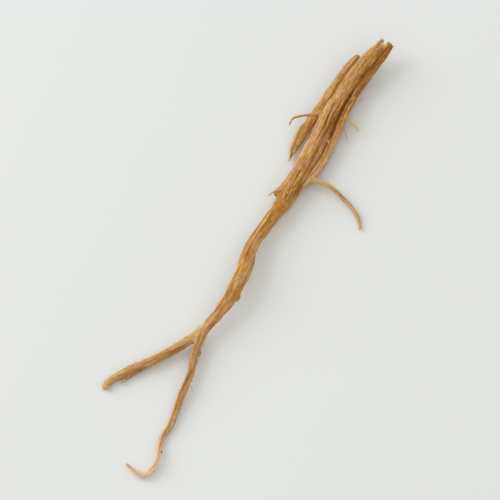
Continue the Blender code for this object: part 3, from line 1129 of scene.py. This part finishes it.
# Patterns of the colour: scale across and along the strand, offset, then the detail, roughness and distortion
# of the noise.
COLOUR_PATTERNS = {
    "patches": (0.3, 0.09, (0, 0, 0), 3.0, 0.6, 0.4),
    "streaks": (1.5, 0.13, (4, 9, 2), 4.0, 0.6, 0.3),
    "fine": (5.0, 0.5, (1, 5, 7), 3.0, 0.6, 0.0),
    "mottle": (1.2, 0.8, (7, 3, 1), 4.0, 0.65, 0.0),
    "specks": (2.6, 1.9, (2, 6, 9), 2.0, 0.5, 0.0),
    "scuffs": (2.1, 1.2, (8, 1, 4), 3.0, 0.6, 0.0),
    "pinkish": (0.22, 0.12, (3, 8, 5), 2.0, 0.5, 0.0),
    "bands": (0.55, 0.2, (6, 2, 8), 3.0, 0.6, 0.5),
    "scars": (1.15, 0.95, (5, 9, 3), 2.0, 0.5, 0.0),
    "blush": (0.75, 0.33, (9, 4, 6), 2.0, 0.5, 0.3),
    "tarnish": (0.85, 0.3, (2, 7, 1), 2.0, 0.5, 0.3),
}
# Coats of colour: pattern, the value at which the coat starts, the value at which it is full, its strength
# and its colour.
BLOTCHES = (
    ("blush", 0.49, 0.58, 0.9, ROSE),
    ("tarnish", 0.5, 0.6, 0.85, OLIVE),
)
STREAKS = (
    ("streaks", 0.5, 0.68, 0.85, LIGHT),
    ("streaks", 0.48, 0.34, 0.8, ORANGE),
    ("mottle", 0.52, 0.68, 0.55, LIGHT),
    ("mottle", 0.46, 0.32, 0.55, ORANGE),
)
WEAR = (
    ("scuffs", 0.62, 0.74, 0.5, CREAM),
    ("fine", 0.42, 0.28, 0.55, DARK),
)
END_GRAIN = (
    ("streaks", 0.5, 0.3, 0.5, TAN),
    ("fine", 0.46, 0.3, 0.3, ORANGE),
)
SPECKS = (
    ("specks", 0.66, 0.74, 0.6, DARK),
    ("scars", 0.7, 0.76, 0.6, DARK),
)
# The darkest coat: painted shade in the slit and the deepest folds, and the real dark of small knobs and
# scars.
DEEP_SHADE_AND_SCARS = (
    ("painted_shade_and_scars", 1.1, 1.5, 0.75, DARK),
)
SKIN_ROUGHNESS = 0.68
SKIN_SPECULAR = 0.12
# Depth in metres and strength of the relief that each pattern adds to the shading.
GRAIN_BUMP = (0.00012, 0.8)
PORE_BUMP = (0.0002, 0.5)
STREAK_BUMP = (0.0003, 0.6)


def root_skin(name, light=0.0):
    """Dried skin: patches and streaks along the strand, dark specks, painted shade in folds, grooves, the
    slit and shaded flanks, painted highlights on raised crests and lit flanks, and pale ends.
    """
    m = Nodes(name)
    flow_out = m.attribute("flow", vector=True)
    patterns = {
        key: m.noise(m.scaled(flow_out, (across, across, along), offset), detail, rough, distort)
        for key, (across, along, offset, detail, rough, distort) in COLOUR_PATTERNS.items()
    }
    patterns["painted_shade_and_scars"] = m.attribute("painted_shade_and_scars")
    colour = m.mix(m.range(patterns["patches"], 0.36, 0.6), ORANGE, TAN)
    rosy = m.math("ADD", m.attribute("rosy"), m.range(patterns["pinkish"], 0.5, 0.68, 0.0, 0.5))
    colour = m.mix(m.math("MULTIPLY", rosy, 0.8), colour, PINK)
    colour = m.mix(m.math("MULTIPLY", m.attribute("gold"), 0.85), colour, GOLD)
    colour = m.coat(colour, patterns, BLOTCHES)
    tawny = m.math("MULTIPLY", m.attribute("tawny"), m.range(patterns["bands"], 0.36, 0.6, 0.4, 0.95))
    tawny = m.math("ADD", tawny, m.range(patterns["bands"], 0.54, 0.66, 0.0, 0.6))
    colour = m.mix(tawny, colour, TAWNY)
    colour = m.coat(colour, patterns, STREAKS)
    # Raised crests of the skin are painted lighter as a highlight.
    colour = m.mix(m.math("MULTIPLY", m.attribute("ridge_highlight"), 0.65), colour, LIGHT)
    colour = m.coat(colour, patterns, WEAR)
    ends = m.coat(m.mix(m.attribute("rosy"), CREAM, SALMON), patterns, END_GRAIN)
    colour = m.mix(m.math("MULTIPLY", m.attribute("pale"), 0.88), colour, ends)
    # Painted shade in folds, between strands, in the slit and on flanks turned from the key lamp, together
    # with the real dark of small knobs and scars, turns the colour towards dark orange-brown.
    colour = m.mix(m.range(patterns["painted_shade_and_scars"], 0.15, 1.0, 0.0, 0.72), colour, m.mix(0.45, ORANGE, DARK))
    colour = m.coat(colour, patterns, DEEP_SHADE_AND_SCARS + SPECKS)
    if light:
        colour = m.mix(light, colour, CREAM)
    m.link(colour, m.shader.inputs["Base Color"])
    m.shader.inputs["Roughness"].default_value = SKIN_ROUGHNESS
    m.shader.inputs["Specular IOR Level"].default_value = SKIN_SPECULAR
    grain = m.bump(patterns["fine"], *GRAIN_BUMP)
    pores = m.bump(patterns["mottle"], *PORE_BUMP, grain)
    m.link(m.bump(patterns["streaks"], *STREAK_BUMP, pores), m.shader.inputs["Normal"])
    return m.material


data.materials.clear()
data.materials.append(root_skin("dried_root_skin"))
fringe.data.materials.append(root_skin("dried_root_fibre", light=0.25))

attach(base, "root")
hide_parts("root")
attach(fringe, "root")


# Floor, light and camera, in metres.
FLOOR_HALF = 3.0
FLOOR_COLOUR = (0.78, 0.80, 0.81, 1.0)
FLOOR_ROUGHNESS = 0.9
FLOOR_SPECULAR = 0.1
SKY_COLOUR = (1.0, 0.985, 0.92, 1.0)
SKY_STRENGTH = 0.73
# Name, place, side, power and colour of each lamp. Both look at the origin.
LAMPS = (
    ("key", (-0.86, 0.42, 0.52), 0.8, 7.0, (0.97, 0.99, 1.04)),
    ("fill", (0.7, -0.6, 0.9), 1.2, 1.2, (1.0, 1.0, 0.98)),
)
# The camera looks down at this angle from this far, and the image is this wide at the root.
ELEVATION = math.radians(62)
FAR = 1.6
VIEW_WIDTH = 0.143
AIM = Vector((0.0, 0.0015, 0.003))
SENSOR = 36.0

floor_mesh = bpy.data.meshes.new("floor")
floor_corners = [(x * FLOOR_HALF, y * FLOOR_HALF, 0) for x, y in ((-1, -1), (1, -1), (1, 1), (-1, 1))]
floor_mesh.from_pydata(floor_corners, [], [(0, 1, 2, 3)])
floor = bpy.data.objects.new("floor", floor_mesh)
bpy.context.scene.collection.objects.link(floor)
paint = bpy.data.materials.new("pale_floor")
paint.use_nodes = True
shader = paint.node_tree.nodes["Principled BSDF"]
shader.inputs["Base Color"].default_value = FLOOR_COLOUR
shader.inputs["Roughness"].default_value = FLOOR_ROUGHNESS
shader.inputs["Specular IOR Level"].default_value = FLOOR_SPECULAR
floor_mesh.materials.append(paint)


def area_light(name, place, side, power, colour):
    """Adds a soft square lamp that looks at the origin."""
    lamp = bpy.data.lights.new(name, "AREA")
    lamp.size = side
    lamp.energy = power
    lamp.color = colour
    made = bpy.data.objects.new(name, lamp)
    made.location = place
    made.rotation_euler = (-Vector(place)).to_track_quat("-Z", "Y").to_euler()
    bpy.context.scene.collection.objects.link(made)


for lamp_values in LAMPS:
    area_light(*lamp_values)
world = bpy.data.worlds.new("studio")
bpy.context.scene.world = world
world.use_nodes = True
world.node_tree.nodes["Background"].inputs["Color"].default_value = SKY_COLOUR
world.node_tree.nodes["Background"].inputs["Strength"].default_value = SKY_STRENGTH
bpy.context.scene.view_settings.view_transform = "Standard"

camera = bpy.data.objects.new("camera", bpy.data.cameras.new("camera"))
bpy.context.scene.collection.objects.link(camera)
back = Vector((0.0, -math.cos(ELEVATION), math.sin(ELEVATION)))
camera.location = AIM + back * FAR
camera.rotation_euler = (-back).to_track_quat("-Z", "Y").to_euler()
camera.data.sensor_width = SENSOR
camera.data.lens = SENSOR * FAR / VIEW_WIDTH
camera.data.clip_start = 0.01
bpy.context.scene.camera = camera
